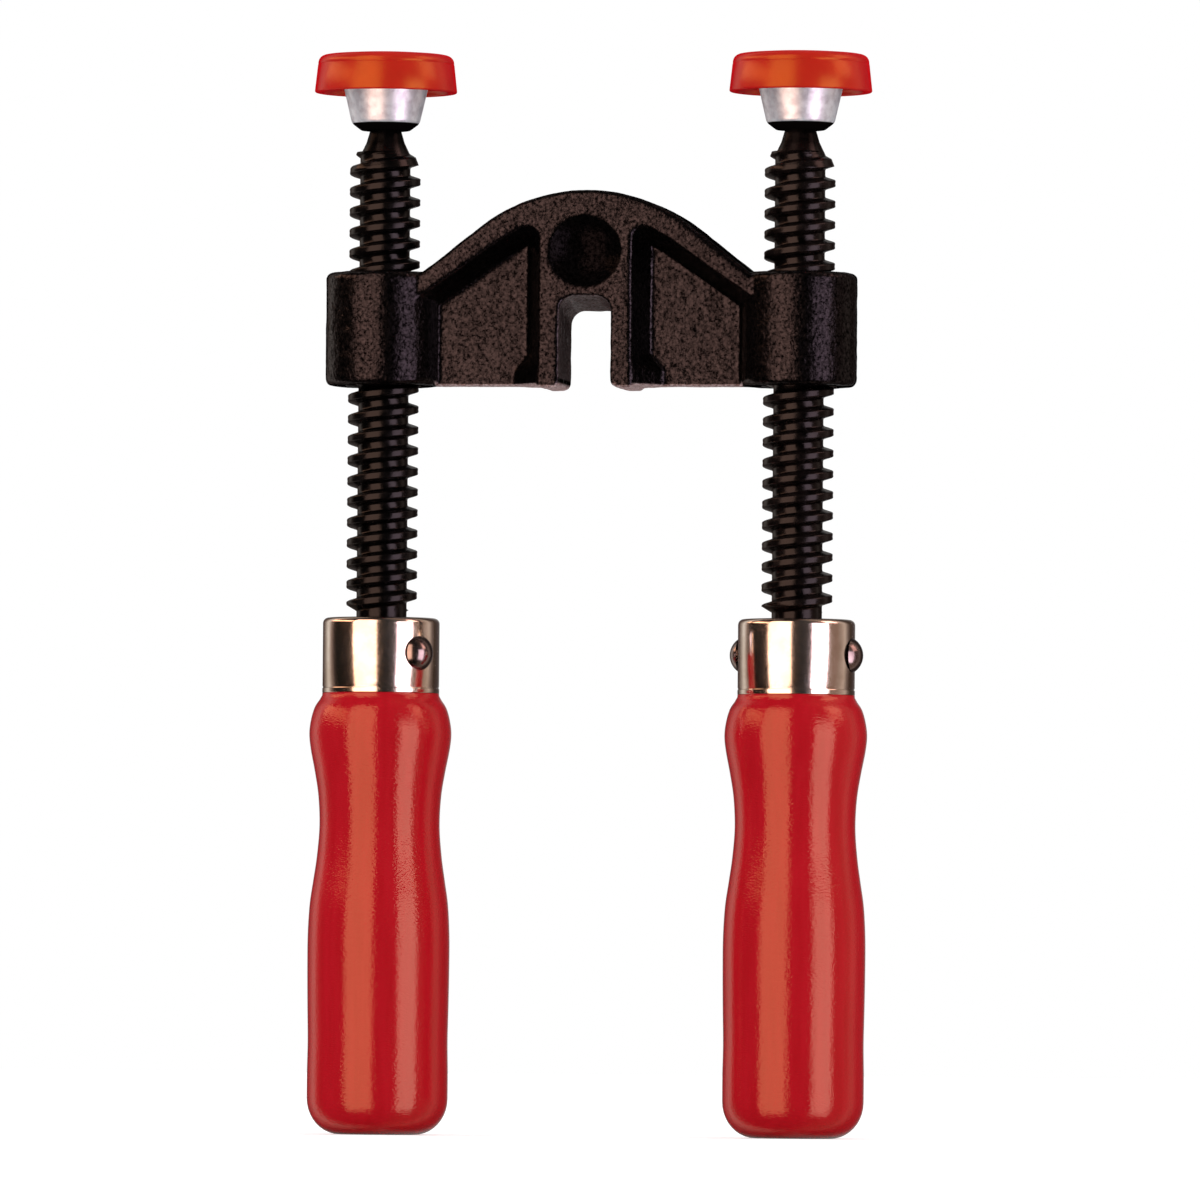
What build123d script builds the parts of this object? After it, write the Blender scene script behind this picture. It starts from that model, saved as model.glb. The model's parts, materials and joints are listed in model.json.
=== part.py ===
from build123d import *
import os
from math import asin, cos, degrees, hypot, radians, sin, sqrt, tan

# Edge clamp: a cast bridge that straddles a bar, with two screw spindles side by side.
# Millimetres, +Z up, the front looks along -Y. The origin lies on the floor, midway
# between the two handle ends, and the spindles stand in the plane y = 0.

# Layout
SPINDLE_SPACING = 81.0
BRIDGE_ABOVE_FERRULE = 44.8  # how far the bridge stands up the threads as modelled
RIVET_AZIMUTHS = {"left": 51.0, "right": 82.0}  # degrees round from the front towards +X

# Spindle
THREAD_MAJOR_D = 13.7
THREAD_CORE_D = 9.7
THREAD_PITCH = 4.0
THREAD_LENGTH = 88.2
THREAD_CREST = 1.3  # widths of the flat crest and the flat root, along the axis
THREAD_ROOT = 1.5
THREAD_SINK = 1.0  # how far the wound ridge reaches into the core
THREAD_START = 241.0  # where the ridge starts, degrees round from the rivet's hole
RUN_OUT_LENGTH = 1.3  # plain core between the ferrule and the lower end of the thread
THREAD_FOOT_BEVEL = 1.2  # height over which the lower end of the ridge fades out
THREAD_TIP_BEVEL = 3.4  # height over which the crest falls to the size at the tip
THREAD_TIP_D = 11.0
THREAD_TIP_RISE = 0.6  # how far the ridge runs on up the first cone
SHANK_D = 9.7
SHANK_IN_HANDLE = 52.0
SHANK_END_BEVEL = 0.8
TAPER_LENGTH = 2.4  # first cone above the thread
TAPER_TOP_D = 7.4
NECK_LENGTH = 2.4  # second cone, up to the mouth of the pressure plate
NECK_D = 6.0
BALL_D = 8.4

# Snap ring, an open ring of round wire in a groove just under the ball's equator
RING_WIRE_D = 1.0
RING_MEAN_D = 8.7
RING_DROP = 1.0
RING_GAP_ANGLE = 34.0
RING_CLEARANCE = 0.09

# Pressure plate
BALL_CLEARANCE = 0.10
CUP_LIP_D = 9.4
CUP_LIP_RADIUS = 0.35
CUP_LOWER_D = 13.1
CUP_UPPER_D = 16.8
CUP_HEIGHT = 9.4  # from the lip to the underside of the flange
CUP_LIP_HEIGHT = 1.4
PLATE_D = 24.4
PLATE_THICKNESS = 2.2
PLATE_EDGE_RADIUS = 0.5
MOUTH_BELOW_BALL = 3.3  # from the ball's centre down to the lip
RING_CHANNEL_ANGLE = 4.0  # the ring's channel starts this far above the equator, degrees

# Pad cap, moulded plastic snapped over the flange
CAP_RIM_D = 27.6
CAP_SHOULDER_D = 26.0
CAP_TOP_FLAT_D = 17.6
CAP_CROWN = 0.35
CAP_EDGE_RADIUS = 1.2
CAP_TOP_THICKNESS = 3.15
CAP_SKIRT_BELOW_FLANGE = 2.1
CAP_LIP_REACH = 0.35  # how far the snap lip stands in under the flange
CAP_LIP_HEIGHT = 1.1
CAP_FIT = 0.05

# Handle, turned wood
HANDLE_LENGTH = 85.1
HANDLE_END_FLAT_D = 14.5
HANDLE_FOOT_D = 27.2
HANDLE_FOOT_HEIGHT = 7.0
HANDLE_GRIP_D = 27.3
HANDLE_GRIP_LOW = 30.0
HANDLE_GRIP_HIGH = 38.5
HANDLE_HOLLOW_D = 27.0
HANDLE_HOLLOW_HEIGHT = 18.0
HANDLE_WAIST_D = 23.1
HANDLE_WAIST_HEIGHT = 59.5
HANDLE_BULB_D = 27.4
HANDLE_BULB_HEIGHT = 76.9
HANDLE_NECK_RISE = 1.3  # straight bit under the ferrule before the bulb swells
HANDLE_BORE_CLEARANCE = 0.05

# Ferrule, a drawn metal cap
FERRULE_D = 22.6
FERRULE_HEIGHT = 14.6
FERRULE_WALL = 0.9
FERRULE_EDGE_RADIUS = 1.0
FERRULE_HOLE_CLEARANCE = 0.25
FERRULE_FIT = 0.05
FERRULE_LINE_HEIGHT = 0.9  # fine turned line above the lower edge
FERRULE_LINE_WIDTH = 0.35
FERRULE_LINE_DEPTH = 0.18

# Rivet, domed at both ends
RIVET_D = 4.0
RIVET_HEAD_D = 6.6
RIVET_HEAD_HEIGHT = 1.9
RIVET_BELOW_FERRULE_TOP = 6.9
RIVET_CLEARANCE = 0.04

# Bridge casting
BOSS_D = 22.4
BOSS_HEIGHT = 21.9
BOSS_EDGE_RADIUS = 1.3
BORE_CLEARANCE = 0.10
BORE_BEVEL = 0.8
WEB_WIDTH = 16.4
CROWN_HEIGHT = 37.6
CROWN_RADIUS = 33.5
SHOULDER_ANGLE = 38.0
RIM_EDGE_RADIUS = 1.1
RIM_WIDTH = 4.3
POCKET_DEPTH = 6.0
POCKET_DRAFT = 27.0
POCKET_SHOULDER_ANGLE = 35.0
POCKET_CORNER_RADIUS = 2.4
BLOCK_WIDTH = 17.8
GUSSET_REACH = 5.7  # from the block's edge, at the pocket's floor
GUSSET_SIDE = 3.0  # height of the full reach, above which the gusset slopes back
GUSSET_HEIGHT = 5.9
BLOCK_DROP = 0.5  # how far the block's feet stand below the web
SLOT_WIDTH = 10.0
SLOT_DEPTH_FRONT = 17.7
SLOT_DEPTH_BACK = 15.4
SLOT_CORNER_RADIUS = 2.8
SLOT_MOUTH_RADIUS = 1.4
DISH_D = 14.0
DISH_DEPTH = 2.8
DISH_HEIGHT = 25.8  # centre of the round dish above the bottom of the casting

# Heights that follow from the sizes above
FERRULE_TOP = HANDLE_LENGTH + FERRULE_HEIGHT
BRIDGE_BOTTOM = FERRULE_TOP + BRIDGE_ABOVE_FERRULE
THREAD_BOTTOM = FERRULE_TOP + RUN_OUT_LENGTH
THREAD_TOP = THREAD_BOTTOM + THREAD_LENGTH
TAPER_TOP = THREAD_TOP + TAPER_LENGTH
CUP_BOTTOM = TAPER_TOP + NECK_LENGTH
BALL_CENTRE = CUP_BOTTOM + MOUTH_BELOW_BALL
FLANGE_BOTTOM = CUP_BOTTOM + CUP_HEIGHT
FLANGE_TOP = FLANGE_BOTTOM + PLATE_THICKNESS
BLOCK_BOTTOM = BRIDGE_BOTTOM - BLOCK_DROP
RIVET_HEIGHT = FERRULE_TOP - RIVET_BELOW_FERRULE_TOP
CUT_MARGIN = 5.0  # how far a cutting tool runs past the faces that it opens
NEAR = 0.01  # how close an edge or corner must lie to count as found


def turned(outline):
    """The solid that a closed outline of radius and height sweeps round the Z axis."""
    return revolve(Plane.XZ * make_face(outline), Axis.Z)


def rod(diameter, bottom, top):
    """A round bar on the Z axis between two heights."""
    return Pos(0, 0, bottom) * extrude(Circle(diameter / 2), top - bottom)


def ring_wire(wire_d):
    """The path of the snap ring, swept by a wire of the given diameter, all the way round."""
    centre = Pos(RING_MEAN_D / 2, BALL_CENTRE - RING_DROP)
    return revolve(Plane.XZ * (centre * Circle(wire_d / 2)), Axis.Z)


def circles_at(solid, height):
    """The round edges of a turned solid at a height."""
    rings = solid.edges().filter_by(GeomType.CIRCLE)
    return rings.filter_by_position(Axis.Z, height - NEAR, height + NEAR)


def cross_hole():
    """The hole that the rivet passes through, along X, right through the handle end."""
    reach = FERRULE_D / 2 + CUT_MARGIN
    bar = extrude(Plane.YZ * Circle(RIVET_D / 2 + RIVET_CLEARANCE), reach, both=True)
    return Pos(0, 0, RIVET_HEIGHT) * bar


def thread():
    """The right-hand trapezoidal thread: one wound ridge, faded out at the foot and bevelled at the tip."""
    core = THREAD_CORE_D / 2
    major = THREAD_MAJOR_D / 2
    flank = (THREAD_PITCH - THREAD_CREST - THREAD_ROOT) / 2
    profile = [
        (core - THREAD_SINK, 0),
        (core, 0),
        (major, flank),
        (major, flank + THREAD_CREST),
        (core, flank + THREAD_CREST + flank),
        (core - THREAD_SINK, flank + THREAD_CREST + flank),
    ]
    start = THREAD_BOTTOM - THREAD_PITCH
    height = THREAD_LENGTH + 2 * THREAD_PITCH
    tip = THREAD_TOP + THREAD_TIP_RISE
    lines = [Edge.make_helix(THREAD_PITCH, height, r, center=(0, 0, start + rise)) for r, rise in profile]
    flanks = [Face.make_surface_from_curves(low, high) for low, high in zip(lines, lines[1:] + lines[:1])]
    ends = [Face(Wire.make_polygon([line @ end for line in lines])) for end in (0, 1)]
    ridge = Rot(0, 0, THREAD_START) * Solid(Shell(flanks + ends))
    limits = turned(
        Polyline(
            (0, THREAD_BOTTOM),
            (core, THREAD_BOTTOM),
            (major + NEAR, THREAD_BOTTOM + THREAD_FOOT_BEVEL),
            (major + NEAR, tip - THREAD_TIP_BEVEL),
            (THREAD_TIP_D / 2, tip),
            (0, tip),
            close=True,
        )
    )
    return ridge & limits


def spindle():
    """Screw spindle: shank in the handle, rolled thread, tapered neck and grooved ball end."""
    shank = SHANK_D / 2
    shank_bottom = FERRULE_TOP - SHANK_IN_HANDLE
    outline = Polyline(
        (0, shank_bottom),
        (shank - SHANK_END_BEVEL, shank_bottom),
        (shank, shank_bottom + SHANK_END_BEVEL),
        (shank, FERRULE_TOP),
        (THREAD_CORE_D / 2, THREAD_BOTTOM),
        (THREAD_CORE_D / 2, THREAD_TOP),
        (TAPER_TOP_D / 2, TAPER_TOP),
        (NECK_D / 2, CUP_BOTTOM),
        (NECK_D / 2, BALL_CENTRE),
        (0, BALL_CENTRE),
        close=True,
    )
    ball = Pos(0, 0, BALL_CENTRE) * Sphere(BALL_D / 2)
    groove = ring_wire(RING_WIRE_D + 2 * RING_CLEARANCE)
    return turned(outline) + thread() + ball - groove - cross_hole()


def snap_ring():
    """Open wire ring that sits in the ball's groove and keeps the ball in the pressure plate."""
    gap_reach = RING_MEAN_D
    gap = Pos(0, 0, BALL_CENTRE - RING_DROP) * extrude(
        make_face(
            Polyline(
                (0, 0),
                (gap_reach, -gap_reach * tan(radians(RING_GAP_ANGLE / 2))),
                (gap_reach, gap_reach * tan(radians(RING_GAP_ANGLE / 2))),
                close=True,
            )
        ),
        RING_WIRE_D,
        both=True,
    )
    return ring_wire(RING_WIRE_D) - gap


def ball_seat():
    """The room inside the pressure plate: a seat round the ball, with a wider ring channel below.

    Both are spherical about the ball's centre, so the plate can tilt without touching.
    """
    seat = BALL_D / 2 + BALL_CLEARANCE
    channel = hypot(RING_MEAN_D / 2, RING_DROP) + RING_WIRE_D / 2 + RING_CLEARANCE
    centre = (0, BALL_CENTRE)
    seat_arc = CenterArc(centre, seat, RING_CHANNEL_ANGLE, 90 - RING_CHANNEL_ANGLE)
    channel_arc = CenterArc(centre, channel, -90, 90 + RING_CHANNEL_ANGLE)
    step = Line(seat_arc @ 0, channel_arc @ 1)
    axis = Line(seat_arc @ 1, channel_arc @ 0)
    return turned(Curve() + [seat_arc, axis, channel_arc, step])


def pressure_plate():
    """Steel swivel plate: a tapered cup round the ball and a flat round flange above it."""
    lip = CUP_BOTTOM + CUP_LIP_HEIGHT
    blank = turned(
        Polyline(
            (0, CUP_BOTTOM),
            (CUP_LIP_D / 2, CUP_BOTTOM),
            (CUP_LOWER_D / 2, lip),
            (CUP_UPPER_D / 2, FLANGE_BOTTOM),
            (PLATE_D / 2, FLANGE_BOTTOM),
            (PLATE_D / 2, FLANGE_TOP),
            (0, FLANGE_TOP),
            close=True,
        )
    )
    blank = fillet(circles_at(blank, lip), CUP_LIP_RADIUS)
    rim_edges = blank.edges().filter_by(GeomType.CIRCLE).group_by(SortBy.RADIUS)[-1]
    blank = fillet(rim_edges, PLATE_EDGE_RADIUS)
    return blank - ball_seat()


def pad_cap():
    """Plastic cap over the plate: slightly crowned top, flared skirt and an inner snap lip."""
    rim = FLANGE_BOTTOM - CAP_SKIRT_BELOW_FLANGE
    ceiling = FLANGE_TOP + CAP_FIT
    top = ceiling + CAP_TOP_THICKNESS
    inside = PLATE_D / 2 + CAP_FIT
    lip_top = FLANGE_BOTTOM - CAP_FIT
    lip = PLATE_D / 2 - CAP_LIP_REACH
    outline = Polyline(
        (0, ceiling),
        (inside, ceiling),
        (inside, lip_top),
        (lip, lip_top - CAP_LIP_REACH),
        (lip, lip_top - CAP_LIP_HEIGHT),
        (inside, lip_top - CAP_LIP_HEIGHT - CAP_LIP_REACH),
        (inside, rim),
        (CAP_RIM_D / 2, rim),
        (CAP_SHOULDER_D / 2, top - CAP_CROWN),
        (CAP_TOP_FLAT_D / 2, top),
        (0, top),
        close=True,
    )
    blank = turned(outline)
    return fillet(circles_at(blank, top - CAP_CROWN), CAP_EDGE_RADIUS)


def handle():
    """Turned wooden handle: rounded foot, full grip, waist, bulb and a tenon for the ferrule."""
    neck = FERRULE_D / 2
    tenon = neck - FERRULE_WALL - FERRULE_FIT
    tenon_top = FERRULE_TOP - FERRULE_WALL - FERRULE_FIT
    foot = HANDLE_FOOT_D / 2
    foot_round = foot - HANDLE_END_FLAT_D / 2
    side = Spline(
        (foot, HANDLE_FOOT_HEIGHT),
        (HANDLE_HOLLOW_D / 2, HANDLE_HOLLOW_HEIGHT),
        (HANDLE_GRIP_D / 2, HANDLE_GRIP_LOW),
        (HANDLE_GRIP_D / 2, HANDLE_GRIP_HIGH),
        (HANDLE_WAIST_D / 2, HANDLE_WAIST_HEIGHT),
        (HANDLE_BULB_D / 2, HANDLE_BULB_HEIGHT),
        (neck, HANDLE_LENGTH - HANDLE_NECK_RISE),
        tangents=[(0, 1), (-1, 1)],
    )
    outline = Curve() + [
        Line((0, 0), (HANDLE_END_FLAT_D / 2, 0)),
        EllipticalCenterArc(
            (HANDLE_END_FLAT_D / 2, HANDLE_FOOT_HEIGHT), foot_round, HANDLE_FOOT_HEIGHT, 270, arc_size=90
        ),
        side,
        Polyline(
            (neck, HANDLE_LENGTH - HANDLE_NECK_RISE),
            (neck, HANDLE_LENGTH),
            (tenon, HANDLE_LENGTH),
            (tenon, tenon_top),
            (0, tenon_top),
            (0, 0),
        ),
    ]
    bore = rod(
        SHANK_D + 2 * HANDLE_BORE_CLEARANCE,
        FERRULE_TOP - SHANK_IN_HANDLE - HANDLE_BORE_CLEARANCE,
        FERRULE_TOP,
    )
    return turned(outline) - bore - cross_hole()


def ferrule():
    """Drawn metal cap on the handle's tenon, with a hole on top for the spindle."""
    shell = rod(FERRULE_D, HANDLE_LENGTH, FERRULE_TOP)
    shell = fillet(shell.edges().group_by(Axis.Z)[-1], FERRULE_EDGE_RADIUS)
    inside = rod(FERRULE_D - 2 * FERRULE_WALL, HANDLE_LENGTH, FERRULE_TOP - FERRULE_WALL)
    hole = rod(SHANK_D + 2 * FERRULE_HOLE_CLEARANCE, HANDLE_LENGTH, FERRULE_TOP)
    line_low = HANDLE_LENGTH + FERRULE_LINE_HEIGHT
    line = rod(FERRULE_D + CUT_MARGIN, line_low, line_low + FERRULE_LINE_WIDTH) - rod(
        FERRULE_D - 2 * FERRULE_LINE_DEPTH, line_low, line_low + FERRULE_LINE_WIDTH
    )
    return shell - inside - hole - line - cross_hole()


def rivet():
    """Cross rivet along X through ferrule, handle and spindle, with a dome on each end."""
    seat = FERRULE_D / 2 + FERRULE_FIT / 2
    tip = seat + RIVET_HEAD_HEIGHT
    head = RIVET_HEAD_D / 2
    shank = RIVET_D / 2
    dome_radius = (head**2 + RIVET_HEAD_HEIGHT**2) / (2 * RIVET_HEAD_HEIGHT)
    dome_angle = degrees(asin(head / dome_radius))
    centre = tip - dome_radius
    outline = Curve() + [
        Line((-tip, 0), (tip, 0)),
        CenterArc((centre, 0), dome_radius, 0, dome_angle),
        Polyline((seat, head), (seat, shank), (-seat, shank), (-seat, head)),
        CenterArc((-centre, 0), dome_radius, 180 - dome_angle, dome_angle),
    ]
    return Pos(0, 0, RIVET_HEIGHT) * revolve(make_face(outline), Axis.X)


def arch_curve(radius, angle, half_span, centre_height):
    """One side of an arch, as an arc from the crown that runs on as a straight shoulder.

    Gives the crown point, the point where arc and shoulder meet, and the end of the shoulder.
    """
    meet = (radius * sin(radians(angle)), centre_height + radius * cos(radians(angle)))
    end = (half_span, meet[1] - (half_span - meet[0]) * tan(radians(angle)))
    return (0, centre_height + radius), meet, end


def web_outline():
    """The arch seen from the front, as a closed face between the two spindle axes."""
    half_span = SPINDLE_SPACING / 2
    centre = BRIDGE_BOTTOM + CROWN_HEIGHT - CROWN_RADIUS
    crown, meet, end = arch_curve(CROWN_RADIUS, SHOULDER_ANGLE, half_span, centre)
    curve = Curve() + [
        Line((-half_span, BRIDGE_BOTTOM), (half_span, BRIDGE_BOTTOM)),
        Line((half_span, BRIDGE_BOTTOM), end),
        Line(end, meet),
        ThreePointArc(meet, crown, (-meet[0], meet[1])),
        Line((-meet[0], meet[1]), (-end[0], end[1])),
        Line((-end[0], end[1]), (-half_span, BRIDGE_BOTTOM)),
    ]
    return Plane.XZ * make_face(curve)


def pocket_outline():
    """The right-hand pocket seen from the front: open below, rounded at its upper corner."""
    half_span = SPINDLE_SPACING / 2
    inner = BLOCK_WIDTH / 2
    radius = CROWN_RADIUS - RIM_WIDTH
    centre = BRIDGE_BOTTOM + CROWN_HEIGHT - CROWN_RADIUS
    below = BRIDGE_BOTTOM - CUT_MARGIN
    crown, meet, end = arch_curve(radius, POCKET_SHOULDER_ANGLE, half_span, centre)
    corner = (inner, centre + sqrt(radius**2 - inner**2))
    between = (inner + meet[0]) / 2
    face = make_face(
        Curve()
        + [
            Line((inner, below), corner),
            ThreePointArc(corner, (between, centre + sqrt(radius**2 - between**2)), meet),
            Line(meet, end),
            Line(end, (half_span, below)),
            Line((half_span, below), (inner, below)),
        ]
    )
    return fillet(face.vertices().sort_by_distance((inner, corner[1], 0))[0], POCKET_CORNER_RADIUS)


def pockets():
    """The four drafted pockets, left and right, cut into the front and the back of the web."""
    face = Plane((0, -WEB_WIDTH / 2, 0), x_dir=(1, 0, 0), z_dir=(0, -1, 0)) * pocket_outline()
    pocket = extrude(face, -POCKET_DEPTH, taper=POCKET_DRAFT)
    front = pocket + mirror(pocket, Plane.YZ)
    return front + mirror(front, Plane.XZ)


def gussets():
    """Ribs in the lower inner corner of each pocket, which slope back to the wall at their top."""
    inner = BLOCK_WIDTH / 2
    floor = WEB_WIDTH / 2 - POCKET_DEPTH
    wall_foot = POCKET_DEPTH * tan(radians(POCKET_DRAFT))

    def section(reach, height):
        corners = Polyline(
            (inner - CUT_MARGIN / 2, -WEB_WIDTH / 2),
            (inner, -WEB_WIDTH / 2),
            (inner + reach, -floor),
            (inner - CUT_MARGIN / 2, -floor),
            close=True,
        )
        return Pos(0, 0, BRIDGE_BOTTOM + height) * make_face(corners)

    foot = loft([section(GUSSET_REACH, 0), section(GUSSET_REACH, GUSSET_SIDE)], ruled=True)
    slope = loft([section(GUSSET_REACH, GUSSET_SIDE), section(wall_foot, GUSSET_HEIGHT)], ruled=True)
    one = foot + slope
    front = one + mirror(one, Plane.YZ)
    return front + mirror(front, Plane.XZ)


def slot():
    """The bar slot, open below, with a roof that falls from the front to the back."""

    def mouth(depth):
        below = Rectangle(SLOT_WIDTH + 4 * SLOT_MOUTH_RADIUS, CUT_MARGIN, align=(Align.CENTER, Align.MAX))
        shape = below + Rectangle(SLOT_WIDTH, depth, align=(Align.CENTER, Align.MIN))
        shape = fillet(shape.vertices().group_by(Axis.Y)[-1], SLOT_CORNER_RADIUS)
        lips = shape.vertices().filter_by_position(Axis.Y, -NEAR, NEAR)
        lips = lips.filter_by_position(Axis.X, -SLOT_WIDTH / 2 - NEAR, SLOT_WIDTH / 2 + NEAR)
        return Pos(0, BLOCK_BOTTOM) * fillet(lips, SLOT_MOUTH_RADIUS)

    half = WEB_WIDTH / 2
    fall = (SLOT_DEPTH_FRONT - SLOT_DEPTH_BACK) / WEB_WIDTH * CUT_MARGIN
    front = Plane.XZ.offset(half + CUT_MARGIN) * mouth(SLOT_DEPTH_FRONT + fall)
    back = Plane.XZ.offset(-half - CUT_MARGIN) * mouth(SLOT_DEPTH_BACK - fall)
    return loft([front, back], ruled=True)


def dish():
    """The round dish in the front of the centre block, left bare."""
    radius = ((DISH_D / 2) ** 2 + DISH_DEPTH**2) / (2 * DISH_DEPTH)
    centre = -WEB_WIDTH / 2 - radius + DISH_DEPTH
    return Pos(0, centre, BRIDGE_BOTTOM + DISH_HEIGHT) * Sphere(radius)


def boss():
    """One spindle boss on the Z axis, without its bore."""
    blank = rod(BOSS_D, BRIDGE_BOTTOM, BRIDGE_BOTTOM + BOSS_HEIGHT)
    return fillet(blank.edges().filter_by(GeomType.CIRCLE), BOSS_EDGE_RADIUS)


def boss_bore():
    """The threaded hole at the thread's outer diameter, with a bevel at each mouth."""
    radius = THREAD_MAJOR_D / 2 + BORE_CLEARANCE
    top = BRIDGE_BOTTOM + BOSS_HEIGHT
    return turned(
        Polyline(
            (0, BRIDGE_BOTTOM),
            (radius + BORE_BEVEL, BRIDGE_BOTTOM),
            (radius, BRIDGE_BOTTOM + BORE_BEVEL),
            (radius, top - BORE_BEVEL),
            (radius + BORE_BEVEL, top),
            (0, top),
            close=True,
        )
    )


def web():
    """The solid arch, with its long upper edges rounded between the bosses."""
    blank = extrude(web_outline(), WEB_WIDTH / 2, both=True)
    above = blank.edges().filter_by_position(Axis.Z, BRIDGE_BOTTOM + NEAR, BRIDGE_BOTTOM + CROWN_HEIGHT)
    lengthwise = above.filter_by(lambda edge: abs(abs(edge.center().Y) - WEB_WIDTH / 2) < NEAR)
    inner = lengthwise.filter_by(lambda edge: abs(edge.center().X) < SPINDLE_SPACING / 2 - NEAR)
    return fillet(inner, RIM_EDGE_RADIUS)


def block_feet():
    """The low plinth under the centre block, which stands a little below the web."""
    return Pos(0, 0, BLOCK_BOTTOM) * Box(
        BLOCK_WIDTH, WEB_WIDTH, BLOCK_DROP, align=(Align.CENTER, Align.CENTER, Align.MIN)
    )


def bridge():
    """The cast bridge: two bosses joined by an arched web with pockets, block, slot and dish."""
    casting = web() - pockets() + gussets() + block_feet()
    for side in (-1, 1):
        casting += Pos(side * SPINDLE_SPACING / 2, 0, 0) * boss()
    casting = casting - slot() - dish()
    for side in (-1, 1):
        casting -= Pos(side * SPINDLE_SPACING / 2, 0, 0) * boss_bore()
    return casting


SIDE_PARTS = {
    "spindle": spindle,
    "snap_ring": snap_ring,
    "pressure_plate": pressure_plate,
    "pad_cap": pad_cap,
    "handle": handle,
    "ferrule": ferrule,
    "rivet": rivet,
}


def build():
    """Every piece by its name, in its place."""
    pieces = {"bridge": bridge()}
    for part_name, make in SIDE_PARTS.items():
        for side, sign in (("left", -1), ("right", 1)):
            turn = RIVET_AZIMUTHS[side] - 90
            place = Pos(sign * SPINDLE_SPACING / 2, 0, 0) * Rot(0, 0, turn)
            pieces[f"{side}_{part_name}"] = place * make()
    return pieces


os.makedirs("parts", exist_ok=True)
for name, piece in build().items():
    export_step(piece, f"parts/{name}.step")
    print(name, round(piece.volume, 1), "valid", piece.is_valid)
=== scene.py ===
"""Looks of the edge clamp: dressed pieces, studio and camera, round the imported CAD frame.

Lengths in the piece classes are in millimetres and are turned to metres where a mesh is made.
The origin lies on the floor midway between the two handle ends, with +Z up and the front
looking along -Y.
"""

import json
import logging
from collections.abc import Callable, Sequence
from dataclasses import dataclass
from enum import Enum
from math import acos, asin, atan2, ceil, cos, hypot, pi, radians, sin, tan

import bmesh
import bpy
from bpy.types import Material, NodeSocket, Object, World
from mathutils import Matrix, Vector

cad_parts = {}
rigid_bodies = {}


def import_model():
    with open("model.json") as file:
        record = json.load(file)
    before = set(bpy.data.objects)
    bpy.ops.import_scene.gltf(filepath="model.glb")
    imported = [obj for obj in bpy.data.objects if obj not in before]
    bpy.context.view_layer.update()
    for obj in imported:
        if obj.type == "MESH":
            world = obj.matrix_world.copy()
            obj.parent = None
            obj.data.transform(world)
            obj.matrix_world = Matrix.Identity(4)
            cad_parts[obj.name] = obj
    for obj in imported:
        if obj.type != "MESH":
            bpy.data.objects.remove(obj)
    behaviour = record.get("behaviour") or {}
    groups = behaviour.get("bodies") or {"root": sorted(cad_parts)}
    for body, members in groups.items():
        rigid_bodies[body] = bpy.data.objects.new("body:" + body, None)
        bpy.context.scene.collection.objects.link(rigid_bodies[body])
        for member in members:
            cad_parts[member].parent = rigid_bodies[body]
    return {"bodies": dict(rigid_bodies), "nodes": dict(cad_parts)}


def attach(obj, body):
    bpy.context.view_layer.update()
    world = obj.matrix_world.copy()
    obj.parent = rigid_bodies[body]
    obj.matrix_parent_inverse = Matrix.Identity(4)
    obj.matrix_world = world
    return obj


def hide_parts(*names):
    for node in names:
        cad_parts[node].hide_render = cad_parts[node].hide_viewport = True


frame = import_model()

LOG = logging.getLogger("edge_clamp")
MM = 0.001
WELD = 1e-4
NEAR = 0.02

Point2 = tuple[float, float]
Point3 = tuple[float, float, float]
Colour = Point3
Setting = NodeSocket | Colour | float

WHOLE: Point2 = (0.0, 1.0)
MIDDLE: Point2 = (0.3, 0.7)


class Side(Enum):
    """One of the two screws, with the sign of its place along X."""

    LEFT = -1
    RIGHT = 1

    def node(self, part: str) -> str:
        """The full name of a part, node or body on this side."""
        return f"{self.name.lower()}_{part}"


@dataclass(frozen=True)
class Layout:
    """Heights and distances that every piece shares, in millimetres."""

    spindle_spacing: float = 81.0
    ferrule_bottom: float = 85.1
    ferrule_top: float = 99.7
    thread_bottom: float = 101.0
    thread_top: float = 189.2
    taper_top: float = 191.6
    cup_bottom: float = 194.0
    ball_centre: float = 197.3
    flange_bottom: float = 203.4
    flange_top: float = 205.6
    cap_top: float = 208.8
    rivet_height: float = 92.8

    def axis(self, side: Side) -> float:
        """The X of a side's screw axis, in millimetres."""
        return side.value * self.spindle_spacing / 2


LAYOUT = Layout()


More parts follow.
